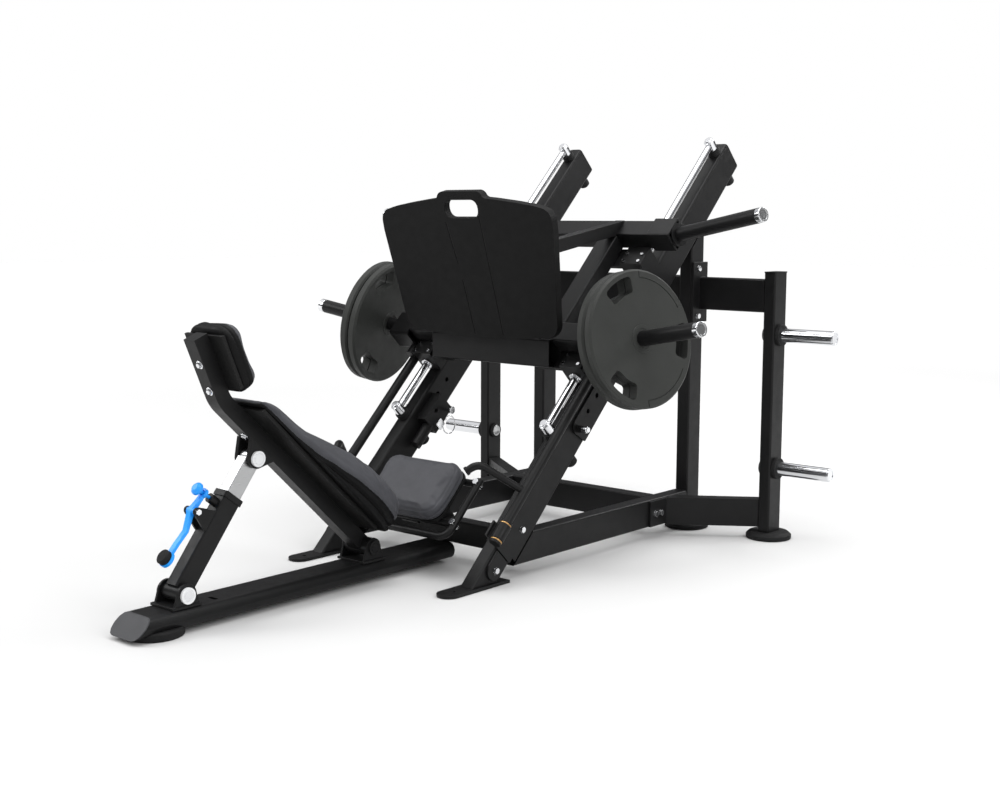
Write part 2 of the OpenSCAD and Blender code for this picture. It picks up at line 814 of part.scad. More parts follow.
module release_pin() {
    color([0.05, 0.2, 0.75]) on_strut() translate([0, 273, 0]) {
        translate([0, 0, 29]) cylinder(r = 5, h = 68);
        translate([0, 0, 96]) cylinder(r = 9.5, h = 7);
        translate([0, 0, 102]) cylinder(r1 = 13, r2 = 19, h = 4);
        translate([0, 0, 106]) cylinder(r = 19, h = 8);
        translate([0, 0, 114]) cylinder(r1 = 19, r2 = 11, h = 8);
    }
}

// ---------- safety shafts ----------
// round bar from a to c that bends at b with inner radius bend_r
module bent_bar(a, b, c, bend_r, r) {
    d1 = (b - a) / norm(b - a);
    d2 = (c - b) / norm(c - b);
    turn = acos(d1 * d2);
    reach = bend_r * tan(turn / 2);
    p1 = b - reach * d1;
    p2 = b + reach * d2;
    side = (d2 - (d1 * d2) * d1) / sin(turn);
    mid = p1 + bend_r * side;
    w = cross(d1, side);
    bar(a, p1 + 2 * d1, r - 0.3);
    m = [for (i = [0:2]) [-side[i], d1[i], w[i], mid[i]]];
    multmatrix(m) rotate_extrude(angle = turn) translate([bend_r, 0]) circle(r = r);
    bar(p2 - 2 * d2, c, r - 0.3);
}

module shaft(catch_s = 640) {
    color(black) on_rail() {
        translate([sh_x, 0, sh_off]) {
            rod_y_axis(sh_r, -30, 676);
            rod_y_axis(19, -37, -29.4);
            rod_y_axis(20, 37.4, 46);
        }
        translate([sh_x, 0, sh_off + 27]) rod_y_axis(17, catch_s, 676.8);
        bent_bar([sh_x, 165, sh_off], [320, 147, 205], [302, 112, 211], 44, 12.5);
    }
    color(rubber) on_rail() bar([302.3, 112.6, 210.9], [298.8, 105.8, 212.1], 14.5);
}

module shaft_r() { shaft(); }

module shaft_l() { mirror([1, 0, 0]) shaft(); }

// ---------- drawing ----------
centre_rail();
rail_nose();
front_foot();
cross_beams();
side_beams();
guide_rails();
rail_caps();
rail_legs();
foot_plates();
lap_plates();
rear_uprights();
rear_top_beam();
storage_uprights();
upper_links();
lower_links();
disc_feet();
storage_pegs();
peg_collars();
guide_rods();
rod_posts();
rod_buffers();
stop_plates();
stop_bodies();
stop_pin_r();
stop_pin_l();
stop_hardware();
clevises();
pivot_pins();
seat_frame();
seat_clamps();
seat_board();
seat_pad();
shaft_brackets();
shaft_bushes();
sled_beams();
sled_side_beams();
sled_arms();
sled_braces();
footplate();
footplate_brackets();
bearing_blocks();
bearing_seals();
sleeve_flanges();
sleeves();
sleeve_ends();
disc_inner_r();
disc_outer_r();
disc_inner_l();
disc_outer_l();
backrest_tube();
back_board();
back_pad();
head_board();
head_pad();
strut_tube();
strut_inner();
release_lever();
release_pin();
shaft_r();
shaft_l();
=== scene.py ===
import json
import math

import bmesh
import bpy
from mathutils import Matrix, Vector


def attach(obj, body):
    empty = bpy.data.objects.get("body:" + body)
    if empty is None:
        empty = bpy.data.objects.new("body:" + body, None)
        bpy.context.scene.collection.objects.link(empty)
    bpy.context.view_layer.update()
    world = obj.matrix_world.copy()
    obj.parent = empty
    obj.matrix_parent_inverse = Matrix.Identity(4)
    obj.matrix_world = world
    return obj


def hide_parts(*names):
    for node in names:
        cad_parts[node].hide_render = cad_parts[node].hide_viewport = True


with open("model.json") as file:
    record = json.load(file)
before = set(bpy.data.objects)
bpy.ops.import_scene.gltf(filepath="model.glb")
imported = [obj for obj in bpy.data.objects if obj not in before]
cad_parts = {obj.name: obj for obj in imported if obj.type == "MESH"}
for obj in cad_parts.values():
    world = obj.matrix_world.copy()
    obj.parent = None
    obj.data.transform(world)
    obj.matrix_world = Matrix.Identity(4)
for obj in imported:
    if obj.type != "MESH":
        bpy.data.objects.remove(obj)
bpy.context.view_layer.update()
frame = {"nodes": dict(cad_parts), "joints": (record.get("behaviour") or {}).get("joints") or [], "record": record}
NODES = frame["nodes"]
JOINTS = {j["name"]: j for j in frame["joints"]}
MM = 0.001
scene = bpy.context.scene

# ---------------------------------------------------------------- frames of reference
# Each frame has the axes of one tilted group of parts, so that places can be given as they are on that group.
UP_RAIL = Vector(JOINTS["sled_slide"]["axis"]).normalized()
ACROSS = Vector((1, 0, 0))
OFF_RAIL = ACROSS.cross(UP_RAIL)
SHAFT_X = 408 * MM
SHAFT_OFF = 53 * MM
RAIL_ORIGIN = Vector(JOINTS["safety_right"]["pos_m"]) - ACROSS * SHAFT_X - OFF_RAIL * SHAFT_OFF
RECLINE = Vector(JOINTS["recline"]["pos_m"])
STRUT = Vector(JOINTS["strut_pivot"]["pos_m"])
BACK_TILT = math.radians(43.4)
HEAD_BEND = math.radians(24)
HEAD_CORNER = 747.5 * MM
STRUT_AXIS = JOINTS["strut_slide"]["axis"]
STRUT_TILT = math.atan2(STRUT_AXIS[2], STRUT_AXIS[1])
FOOTPLATE_TILT = math.radians(13.2)
FOOTPLATE_AT = (0, 212 * MM, 735 * MM)
SLEEVE_TILT = math.radians(14.8)
SLEEVE_X = 490
SLEEVE_OFF = 114.5
SLEEVES_ALONG = (740, 1233)


def moved(x, y, z):
    """Matrix that moves by millimetres."""
    return Matrix.Translation(Vector((x, y, z)) * MM)


def axes(x, y, z, origin):
    """Matrix whose columns are the three axes, placed at origin."""
    matrix = Matrix((x, y, z)).transposed().to_4x4()
    matrix.translation = origin
    return matrix


RAIL = axes(ACROSS, UP_RAIL, OFF_RAIL, RAIL_ORIGIN)
BACK = Matrix.Translation(RECLINE) @ Matrix.Rotation(math.pi, 4, "Z") @ Matrix.Rotation(BACK_TILT, 4, "X")
HEAD = BACK @ Matrix.Translation((0, HEAD_CORNER, 0)) @ Matrix.Rotation(HEAD_BEND, 4, "X")
TUBE = Matrix.Translation(STRUT) @ Matrix.Rotation(STRUT_TILT, 4, "X")
FOOTPLATE = Matrix.Translation(FOOTPLATE_AT) @ Matrix.Rotation(math.pi / 2 + FOOTPLATE_TILT, 4, "X")


def sleeve_frame(along, side):
    """Frame of a weight sleeve: its Z axis runs outward along the sleeve."""
    matrix = RAIL @ moved(SLEEVE_X, along, SLEEVE_OFF)
    matrix = matrix @ Matrix.Rotation(math.pi / 2 - SLEEVE_TILT, 4, "Y")
    if side < 0:
        matrix = Matrix.Scale(-1, 4, ACROSS) @ matrix
    return matrix


# ---------------------------------------------------------------- camera and lights
CAMERA_AT = Vector((3.137, -3.304, 1.140))
CAMERA_YAW = math.radians(40.943)
CAMERA_PITCH = math.radians(7.365)
CAMERA_ROLL = math.radians(0.20)

camera_data = bpy.data.cameras.new("camera")
camera_data.lens = 49.46
camera_data.sensor_width = 36
camera_data.clip_end = 200
camera = bpy.data.objects.new("camera", camera_data)
camera.matrix_world = (Matrix.Translation(CAMERA_AT) @ Matrix.Rotation(CAMERA_YAW, 4, "Z")
                       @ Matrix.Rotation(math.pi / 2 - CAMERA_PITCH, 4, "X")
                       @ Matrix.Rotation(CAMERA_ROLL, 4, "Z"))
scene.collection.objects.link(camera)
scene.camera = camera
scene.view_settings.view_transform = "Standard"
scene.view_settings.look = "None"


def area_light(name, at, target, size, power):
    """A rectangular lamp that faces its target; size in metres, power in watts."""
    data = bpy.data.lights.new(name, "AREA")
    data.shape = "RECTANGLE"
    data.size, data.size_y = size
    data.energy = power
    lamp = bpy.data.objects.new(name, data)
    lamp.location = at
    lamp.rotation_euler = (Vector(target) - Vector(at)).to_track_quat("-Z", "Y").to_euler()
    scene.collection.objects.link(lamp)


area_light("key", (-3.4, -3.2, 3.8), (0, -0.2, 0.5), (2.4, 2.4), 120)
area_light("top", (0.3, 0.3, 4.4), (0, 0, 0.3), (3.2, 3.2), 110)
area_light("back", (1.6, 4.2, 3.0), (0, 0, 0.7), (3.0, 1.4), 90)
area_light("side", (4.8, -0.2, 2.6), (0, 0.2, 0.6), (1.2, 2.4), 55)


def fill_ramp(ramp, stops):
    """Sets a colour ramp from (place, colour) stops that run upward."""
    for element, (place, colour) in zip(ramp.elements, (stops[0], stops[-1])):
        element.position = place
        element.color = (*colour, 1)
    for place, colour in stops[1:-1]:
        ramp.elements.new(place).color = (*colour, 1)


# ---------------------------------------------------------------- surroundings
# The camera sees plain white, polished parts mirror a sky with a dark horizon, and the rest gets even light.
SEEN_STRENGTH = 1.0
MIRROR_STRENGTH = 1.0
AMBIENT_STRENGTH = 1.12
SKY_STOPS = [(0.40, (0.5, 0.5, 0.5)), (0.50, (0.10, 0.10, 0.102)), (0.62, (0.06, 0.06, 0.0612)),
             (0.74, (0.30, 0.30, 0.306)), (0.84, (0.75, 0.75, 0.765)), (0.95, (1.0, 1.0, 1.0))]


def make_world():
    """Builds the world's nodes: one background for each kind of ray."""
    world = bpy.data.worlds.new("studio")
    scene.world = world
    world.use_nodes = True
    nodes = world.node_tree.nodes
    link = world.node_tree.links.new
    nodes.clear()

    def backdrop(strength):
        node = nodes.new("ShaderNodeBackground")
        node.inputs["Color"].default_value = (1, 1, 1, 1)
        node.inputs["Strength"].default_value = strength
        return node

    def choose(factor, without, within):
        node = nodes.new("ShaderNodeMixShader")
        link(factor, node.inputs["Fac"])
        link(without, node.inputs[1])
        link(within, node.inputs[2])
        return node.outputs["Shader"]

    coordinates = nodes.new("ShaderNodeTexCoord")
    split = nodes.new("ShaderNodeSeparateXYZ")
    link(coordinates.outputs["Generated"], split.inputs["Vector"])
    height = nodes.new("ShaderNodeMapRange")
    height.inputs["From Min"].default_value = -1
    height.inputs["From Max"].default_value = 1
    link(split.outputs["Z"], height.inputs["Value"])
    sky = nodes.new("ShaderNodeValToRGB")
    fill_ramp(sky.color_ramp, SKY_STOPS)
    link(height.outputs["Result"], sky.inputs["Fac"])
    mirrored = backdrop(MIRROR_STRENGTH)
    link(sky.outputs["Color"], mirrored.inputs["Color"])

    rays = nodes.new("ShaderNodeLightPath")
    ambient = backdrop(AMBIENT_STRENGTH).outputs["Background"]
    shader = choose(rays.outputs["Is Glossy Ray"], ambient, mirrored.outputs["Background"])
    seen = backdrop(SEEN_STRENGTH).outputs["Background"]
    shader = choose(rays.outputs["Is Camera Ray"], shader, seen)
    output = nodes.new("ShaderNodeOutputWorld")
    link(shader, output.inputs["Surface"])


make_world()


# ---------------------------------------------------------------- materials
# Most values of a noise lie between these two.
NOISE_LOW = 0.3
NOISE_HIGH = 0.7


class Shade:
    """A Principled material with short helpers for procedural detail; lengths are in metres."""

    def __init__(self, name):
        self.mat = bpy.data.materials.new(name)
        self.mat.use_nodes = True
        self.tree = self.mat.node_tree
        self.bsdf = self.tree.nodes["Principled BSDF"]
        self.coords = self.add("ShaderNodeTexCoord").outputs["Object"]
        self.normal = None

    def add(self, kind, **values):
        """Adds a node and sets its own properties."""
        node = self.tree.nodes.new(kind)
        for key, value in values.items():
            setattr(node, key, value)
        return node

    def link(self, source, socket):
        self.tree.links.new(source, socket)

    def set(self, **values):
        """Sets shader inputs by their names in small letters, with _ for each space."""
        for key, value in values.items():
            self.bsdf.inputs[key.replace("_", " ").title().replace("Ior", "IOR")].default_value = value

    def noise(self, scale, detail=3, rough=0.5, stretch=None):
        """Cloudy noise, drawn out along the axes where stretch is small."""
        node = self.add("ShaderNodeTexNoise")
        node.inputs["Scale"].default_value = scale
        node.inputs["Detail"].default_value = detail
        node.inputs["Roughness"].default_value = rough
        source = self.coords
        if stretch:
            mapping = self.add("ShaderNodeMapping")
            mapping.inputs["Scale"].default_value = stretch
            self.link(source, mapping.inputs["Vector"])
            source = mapping.outputs["Vector"]
        self.link(source, node.inputs["Vector"])
        return node.outputs["Fac"]

    def cells(self, scale):
        """Pebbled grain."""
        node = self.add("ShaderNodeTexVoronoi", feature="F1")
        node.inputs["Scale"].default_value = scale
        self.link(self.coords, node.inputs["Vector"])
        return node.outputs["Distance"]

    def spread_roughness(self, source, low, high):
        """Varies the roughness between two values with a noise."""
        node = self.add("ShaderNodeMapRange")
        node.inputs["From Min"].default_value = NOISE_LOW
        node.inputs["From Max"].default_value = NOISE_HIGH
        node.inputs["To Min"].default_value = low
        node.inputs["To Max"].default_value = high
        self.link(source, node.inputs["Value"])
        self.link(node.outputs["Result"], self.bsdf.inputs["Roughness"])

    def tint(self, source, stops):
        """Colours the surface by a ramp of (place, colour) stops."""
        ramp = self.add("ShaderNodeValToRGB")
        fill_ramp(ramp.color_ramp, stops)
        self.link(source, ramp.inputs["Fac"])
        self.link(ramp.outputs["Color"], self.bsdf.inputs["Base Color"])

    def bump(self, source, depth, strength=1.0):
        """Adds relief on top of the relief that is there."""
        node = self.add("ShaderNodeBump")
        node.inputs["Strength"].default_value = strength
        node.inputs["Distance"].default_value = depth
        self.link(source, node.inputs["Height"])
        if self.normal:
            self.link(self.normal, node.inputs["Normal"])
        self.normal = node.outputs["Normal"]
        self.link(self.normal, self.bsdf.inputs["Normal"])

    def groove(self, start, end, width, depth):
        """Presses a straight groove between two points of the surface."""
        along = (end - start).normalized()
        offset = self.add("ShaderNodeVectorMath", operation="SUBTRACT")
        self.link(self.coords, offset.inputs[0])
        offset.inputs[1].default_value = start
        reach = self.add("ShaderNodeVectorMath", operation="DOT_PRODUCT")
        self.link(offset.outputs["Vector"], reach.inputs[0])
        reach.inputs[1].default_value = along
        limit = self.add("ShaderNodeClamp")
        limit.inputs["Max"].default_value = (end - start).length
        self.link(reach.outputs["Value"], limit.inputs["Value"])
        nearest = self.add("ShaderNodeVectorMath", operation="SCALE")
        nearest.inputs[0].default_value = along
        self.link(limit.outputs["Result"], nearest.inputs["Scale"])
        gap = self.add("ShaderNodeVectorMath", operation="DISTANCE")
        self.link(offset.outputs["Vector"], gap.inputs[0])
        self.link(nearest.outputs["Vector"], gap.inputs[1])
        wall = self.add("ShaderNodeMapRange", interpolation_type="SMOOTHSTEP")
        wall.inputs["From Max"].default_value = width
        self.link(gap.outputs["Value"], wall.inputs["Value"])
        self.bump(wall.outputs["Result"], depth)


def scaled(colour, factor):
    return tuple(channel * factor for channel in colour)


def powder_coat(name, dark, light, rough=(0.34, 0.46), spec=0.2):
    """Painted steel with a fine orange-peel surface."""
    shade = Shade(name)
    shade.tint(shade.noise(3.5, 5, 0.6), [(NOISE_LOW, dark), (NOISE_HIGH, light)])
    shade.spread_roughness(shade.noise(26, 4, 0.6), *rough)
    shade.bump(shade.noise(620, 2, 0.5), 0.00022, 0.35)
    shade.bump(shade.noise(90, 2, 0.5), 0.00035, 0.16)
    shade.set(metallic=0.0, specular_ior_level=spec)
    return shade.mat


def metal(name, colour, rough, stretch):
    """Bare metal with a grain drawn out by stretch."""
    shade = Shade(name)
    grain = shade.noise(900, 3, 0.6, stretch)
    shade.tint(grain, [(NOISE_LOW, scaled(colour, 0.9)), (NOISE_HIGH, colour)])
    shade.spread_roughness(shade.noise(40, 4, 0.6, stretch), *rough)
    shade.bump(grain, 0.00004, 0.4)
    shade.set(metallic=1.0)
    return shade.mat


def rubber(name, colour):
    """Dull rubber with a fine grain."""
    shade = Shade(name)
    shade.tint(shade.noise(12, 5, 0.6), [(NOISE_LOW, scaled(colour, 0.75)), (NOISE_HIGH, colour)])
    shade.spread_roughness(shade.noise(60, 3, 0.6), 0.62, 0.8)
    shade.bump(shade.noise(420, 3, 0.6), 0.0003, 0.5)
    shade.set(specular_ior_level=0.25)
    return shade.mat


def vinyl(name, colour, spec, sheen):
    """Upholstery vinyl: pebbled grain over soft, shallow waves."""
    shade = Shade(name)
    shade.tint(shade.noise(9, 6, 0.62), [(0.28, scaled(colour, 0.86)), (0.72, scaled(colour, 1.1))])
    shade.spread_roughness(shade.noise(34, 4, 0.6), 0.46, 0.62)
    shade.bump(shade.cells(620), 0.00035, 0.42)
    shade.bump(shade.noise(240, 3, 0.6), 0.0003, 0.25)
    shade.bump(shade.noise(16, 3, 0.5), 0.0016, 0.18)
    shade.set(specular_ior_level=spec, sheen_weight=sheen)
    return shade.mat


def moulded(name, colour, rough=(0.45, 0.6), depth=0.00025, scale=700, spec=0.2):
    """Moulded plastic with a pebbled skin."""
    shade = Shade(name)
    shade.tint(shade.noise(5, 5, 0.6), [(NOISE_LOW, scaled(colour, 0.86)), (NOISE_HIGH, colour)])
    shade.spread_roughness(shade.noise(30, 4, 0.6), *rough)
    shade.bump(shade.cells(scale), depth, 0.4)
    shade.set(specular_ior_level=spec)
    return shade.mat


# The ends of the three grooves in the footplate's face, in mm across and up it.
GROOVES = (((77, 424), (106, 22)), ((-77, 406), (-51, 266)), ((-41, 204), (-22, 20)))
GROOVE_WIDTH = 0.0034
GROOVE_DEPTH = 0.005


def grooved_footplate():
    """Near-black moulded plastic with straight grooves pressed into it."""
    shade = Shade("moulded_footplate_grooved")
    shade.tint(shade.noise(5, 5, 0.6), [(NOISE_LOW, (0.0044, 0.0044, 0.0045)),
                                        (NOISE_HIGH, (0.0050, 0.0050, 0.0051))])
    shade.spread_roughness(shade.noise(30, 4, 0.6), 0.5, 0.62)
    shade.set(specular_ior_level=0.12)
    shade.bump(shade.cells(560), 0.0003, 0.4)
    for start, end in GROOVES:
        start = FOOTPLATE @ (Vector((*start, 0)) * MM)
        end = FOOTPLATE @ (Vector((*end, 0)) * MM)
        shade.groove(start, end, GROOVE_WIDTH, GROOVE_DEPTH)
    return shade.mat


# The first ten are named after the record's material slots. The last three are for areas or pieces that
# differ from the rest of their slot.
FINISH = {
    "black_paint": powder_coat("satin_black_coat", (0.0055, 0.0055, 0.0057), (0.0085, 0.0085, 0.0088)),
    "chrome": metal("polished_chrome", (0.86, 0.87, 0.89), (0.07, 0.16), (1, 1, 1)),
    "rubber": rubber("black_rubber", (0.009, 0.009, 0.0094)),
    "vinyl": vinyl("charcoal_vinyl", (0.046, 0.047, 0.054), 0.3, 0.05),
    "black_board": moulded("black_board", (0.006, 0.006, 0.006)),
    "bronze": metal("bearing_bronze", (0.60, 0.36, 0.15), (0.28, 0.42), (1, 6, 6)),
    "blue": powder_coat("blue_coat", (0.008, 0.245, 0.78), (0.012, 0.31, 0.88), (0.3, 0.4), 0.42),
    "plate": moulded("urethane_plate", (0.030, 0.0315, 0.0295), (0.42, 0.55), 0.0004, 380),
    "nose": moulded("grey_end_plate", (0.050, 0.051, 0.055), (0.4, 0.52), 0.0002, 800),
    "footplate": grooved_footplate(),
    "satin_steel": metal("satin_steel", (0.50, 0.505, 0.51), (0.26, 0.38), (8, 1, 8)),
    "vinyl_side": vinyl("black_vinyl", (0.0028, 0.0028, 0.003), 0.14, 0.0),
    "white": moulded("white_cap", (0.78, 0.79, 0.8), (0.3, 0.42), 0.0001, 900, 0.5),
}

# ---------------------------------------------------------------- CAD pieces: soft edges
# Bevel widths in mm.
EDGE_DEFAULT = 1.4
EDGE = {"guide_rails": 3.0, "side_beams": 2.0, "centre_rail": 2.0, "release_pin": 2.0, "seat_frame": 0.8,
        "sleeves": 2.0, "footplate": 6.0, "backrest_tube": 4.0, "strut_tube": 1.6, "disc_feet": 1.5,
        "front_foot": 1.5}
# The weight plates keep crisp edges.
EDGE.update({f"disc_{place}_{side}": 0 for place in ("inner", "outer") for side in ("r", "l")})
NODE_SLOT = {part["node"]: part["material_slot"] for part in frame["record"]["subparts"]}


def soften(obj, width):
    """Welds the imported triangles, then rounds the sharp edges and evens the shading.

    A width of zero keeps the edges crisp and the flat faces truly flat.
    """
    if "custom_normal" in obj.data.attributes:
        obj.data.attributes.remove(obj.data.attributes["custom_normal"])
    obj.data.shade_smooth()
    weld = obj.modifiers.new("weld", "WELD")
    weld.merge_threshold = 0.00002
    flat = obj.modifiers.new("flat_faces", "DECIMATE")
    flat.decimate_type = "DISSOLVE"
    flat.angle_limit = math.radians(0.3)
    flat.delimit = {"MATERIAL"}
    if not width:
        crisp = obj.modifiers.new("crisp", "EDGE_SPLIT")
        crisp.split_angle = math.radians(24)
        return
    bevel = obj.modifiers.new("edges", "BEVEL")
    bevel.width = width
    bevel.segments = 2
    bevel.limit_method = "ANGLE"
    bevel.angle_limit = math.radians(32)
    bevel.miter_outer = "MITER_ARC"
    normals = obj.modifiers.new("normals", "WEIGHTED_NORMAL")
    normals.keep_sharp = True
    normals.weight = 60


for name, node in NODES.items():
    node.data.materials.clear()
    node.data.materials.append(FINISH[NODE_SLOT[name]])
    soften(node, EDGE.get(name, EDGE_DEFAULT) * MM)
NODES["strut_inner"].data.materials[0] = FINISH["satin_steel"]
bpy.context.view_layer.update()


# ---------------------------------------------------------------- CAD pieces: areas with another finish
def finish_part(name, material, test):
    """Gives the faces of a CAD piece that pass the test another finish."""
    mesh = NODES[name].data
    place = NODES[name].matrix_world
    mesh.materials.append(material)
    for face in mesh.polygons:
        if test(place @ face.center):
            face.material_index = len(mesh.materials) - 1


def in_frame(matrix, test):
    """A test on the point's own coordinates in a frame, in millimetres."""
    back = matrix.inverted()
    return lambda p: test((back @ p) / MM)


# Bolt heads are what stands out beyond these faces, in mm from the machine's middle.
LAP_FACE = 379.2
LOWER_LINK_FACE = 380.2
LOWER_LINK_END_Y = 780
UPPER_LINK_FACE = 381.2
UPPER_LINK_TIP = 390
UPPER_LINK_BOLTS_Z = (793, 966)
BOLT_REACH = 12.5
WORLD = Matrix.Identity(4)

finish_part("lap_plates", FINISH["chrome"], in_frame(WORLD, lambda p: abs(p.x) > LAP_FACE))
finish_part("lower_links", FINISH["chrome"], in_frame(
    WORLD, lambda p: abs(p.x) > LOWER_LINK_FACE and p.y < LOWER_LINK_END_Y))
finish_part("upper_links", FINISH["chrome"], in_frame(
    WORLD, lambda p: UPPER_LINK_FACE < abs(p.x) < UPPER_LINK_TIP
    and min(abs(p.z - z) for z in UPPER_LINK_BOLTS_Z) < BOLT_REACH))

# The same on the tilted parts, each in the frame of its own group: the bolts of the shaft brackets, of the
# bearing housings and of the lever's lugs, the back tube's ear caps, the lever's pad and the sleeves' ends.
BRACKET_BOLTS_ALONG = 74
BRACKET_BOLTS_UNDER = -40
HOUSING_TOP = 96.2
LUG_FACE = 24.7
LUG_BOLTS_ABOVE = 70
EAR_FACE = 34.2
EAR_CAPS_UNDER = -28
EAR_CAPS_ALONG = 500
LEVER_PAD_END = 88
LEVER_PAD_ABOVE = 90.2
SLEEVE_TIP = 381
SLEEVE_TIP_RADIUS = 23

finish_part("shaft_brackets", FINISH["chrome"], in_frame(
    RAIL, lambda p: abs(p.x) > LAP_FACE and p.y > BRACKET_BOLTS_ALONG and p.z < BRACKET_BOLTS_UNDER))
finish_part("bearing_blocks", FINISH["chrome"], in_frame(RAIL, lambda p: p.z > HOUSING_TOP))
finish_part("strut_tube", FINISH["chrome"], in_frame(
    TUBE, lambda p: abs(p.x) > LUG_FACE and p.z > LUG_BOLTS_ABOVE))
finish_part("backrest_tube", FINISH["white"], in_frame(
    BACK, lambda p: abs(p.x) > EAR_FACE and p.z < EAR_CAPS_UNDER and p.y > EAR_CAPS_ALONG))
finish_part("release_lever", FINISH["rubber"], in_frame(
    TUBE, lambda p: p.y < LEVER_PAD_END and p.z > LEVER_PAD_ABOVE))
for side in (1, -1):
    for along in SLEEVES_ALONG:
        finish_part("sleeve_ends", FINISH["satin_steel"], in_frame(
            sleeve_frame(along, side),
            lambda p: p.z > SLEEVE_TIP and math.hypot(p.x, p.y) < SLEEVE_TIP_RADIUS))

# The strut's pivot caps have a white ring, and the backrest's are black all over.
CAP_FACE = 49.2
CAP_HUB = 14.2
CAP_RADIUS = 40


def on_cap(p, pin, near):
    """Whether a point is on a pin's cap, at least near mm from its middle."""
    reach = math.hypot(p.y - pin.y, p.z - pin.z) / MM
    return abs(p.x) / MM > CAP_FACE and near <= reach < CAP_RADIUS


finish_part("pivot_pins", FINISH["white"], lambda p: on_cap(p, STRUT, CAP_HUB))
finish_part("pivot_pins", FINISH["rubber"], lambda p: on_cap(p, RECLINE, 0))


# ---------------------------------------------------------------- mesh helpers
SAME_POINT = 1e-6
# Any direction that no bar here starts along.
LOOSE_UP = Vector((0.123, 0.456, 0.881))
CORNER_STEPS = 8
EASING = 0.35


def link_mesh(name, verts, faces, material, matrix=None, smooth=True):
    """A mesh object in the scene, its points moved by matrix."""
    mesh = bpy.data.meshes.new(name)
    if matrix is not None:
        verts = [matrix @ Vector(v) for v in verts]
    mesh.from_pydata([tuple(v) for v in verts], [], faces)
    mesh.update()
    obj = bpy.data.objects.new(name, mesh)
    scene.collection.objects.link(obj)
    mesh.materials.append(material)
    if smooth:
        mesh.shade_smooth()
    return obj


def fix_normals(obj):
    """Joins points that coincide and turns all faces outward."""
    bm = bmesh.new()
    bm.from_mesh(obj.data)
    bmesh.ops.remove_doubles(bm, verts=bm.verts, dist=SAME_POINT)
    bmesh.ops.recalc_face_normals(bm, faces=bm.faces)
    bm.to_mesh(obj.data)
    bm.free()


def bake_modifiers(obj):
    """Replaces the mesh by what its modifiers make of it."""
    graph = bpy.context.evaluated_depsgraph_get()
    made = bpy.data.meshes.new_from_object(obj.evaluated_get(graph), depsgraph=graph)
    obj.modifiers.clear()
    obj.data = made


def lathe(name, profile, material, matrix, steps):
    """Turns (radius, height) points in mm about the Z axis of matrix."""
    verts, faces = [], []
    count = len(profile)
    for i in range(steps):
        angle = 2 * math.pi * i / steps
        verts += [(r * MM * math.cos(angle), r * MM * math.sin(angle), h * MM) for r, h in profile]
        j = (i + 1) % steps
        for k in range(count - 1):
            faces.append((i * count + k, j * count + k, j * count + k + 1, i * count + k + 1))
    obj = link_mesh(name, verts, faces, material, matrix)
    fix_normals(obj)
    return obj


def sweep(name, points, radius, material, matrix, closed, steps=10):
    """A round bar along a smooth list of points, which closed joins into a loop."""
    points = [matrix @ p for p in points]
    verts, faces = [], []
    count = len(points)
    up = LOOSE_UP.normalized()
    for i, point in enumerate(points):
        before = points[i - 1] if i > 0 or closed else point
        after = points[(i + 1) % count] if i < count - 1 or closed else point
        along = (after - before).normalized()
        side = along.cross(up).normalized()
        up = side.cross(along).normalized()
        for k in range(steps):
            angle = 2 * math.pi * k / steps
            verts.append(point + (side * math.cos(angle) + up * math.sin(angle)) * radius)
    for i in range(count if closed else count - 1):
        j = (i + 1) % count
        for k in range(steps):
            k2 = (k + 1) % steps
            faces.append((i * steps + k, i * steps + k2, j * steps + k2, j * steps + k))
    if not closed:
        faces.append(tuple(range(steps))[::-1])
        faces.append(tuple(range((count - 1) * steps, count * steps)))
    obj = link_mesh(name, verts, faces, material)
    fix_normals(obj)
    return obj


def arc(centre, radius, start, end):
    """Points of an arc between two angles in degrees."""
    angles = [math.radians(start + (end - start) * i / CORNER_STEPS) for i in range(CORNER_STEPS + 1)]
    return [(centre[0] + radius * math.cos(a), centre[1] + radius * math.sin(a)) for a in angles]


def rounded(width, height, radius):
    """Outline of a rectangle with rounded corners."""
    outline = []
    for quarter, (x, y) in enumerate(((1, 1), (-1, 1), (-1, -1), (1, -1))):
        corner = (x * (width / 2 - radius), y * (height / 2 - radius))
        outline += arc(corner, radius, 90 * quarter, 90 * quarter + 90)
    return outline


def smooth_between(points, t):
    """Value at t on a gently eased line through (t, value) points."""
    if t <= points[0][0]:
        return points[0][1]
    for (t0, v0), (t1, v1) in zip(points, points[1:]):
        if t <= t1:
            f = (t - t0) / (t1 - t0)
            f = f * f * (3 - 2 * f) * EASING + f * (1 - EASING)
            return v0 + (v1 - v0) * f
    return points[-1][1]


def ridge(distance, width):
    """A smooth bump: 1 where distance is 0, and near 0 beyond twice the width."""
    return math.exp(-(distance / width) ** 2)


# ---------------------------------------------------------------- floor
# Painted shade against distance in metres: the floor is painted darker close by, where the lamps shine brightest,
# so that they don't drown the machine's soft shadow.
FLOOR_PAINTED_SHADE_TONES = [(0, 0.555), (1.9, 0.56), (3.5, 0.63), (4.8, 0.70), (5.9, 0.77), (7.4, 0.84), (9.3, 0.87),
               (12, 0.885), (16, 0.90)]
FLOOR_REACH = FLOOR_PAINTED_SHADE_TONES[-1][0]
FLOOR_HALF = 30
FLOOR_Z = -0.0005


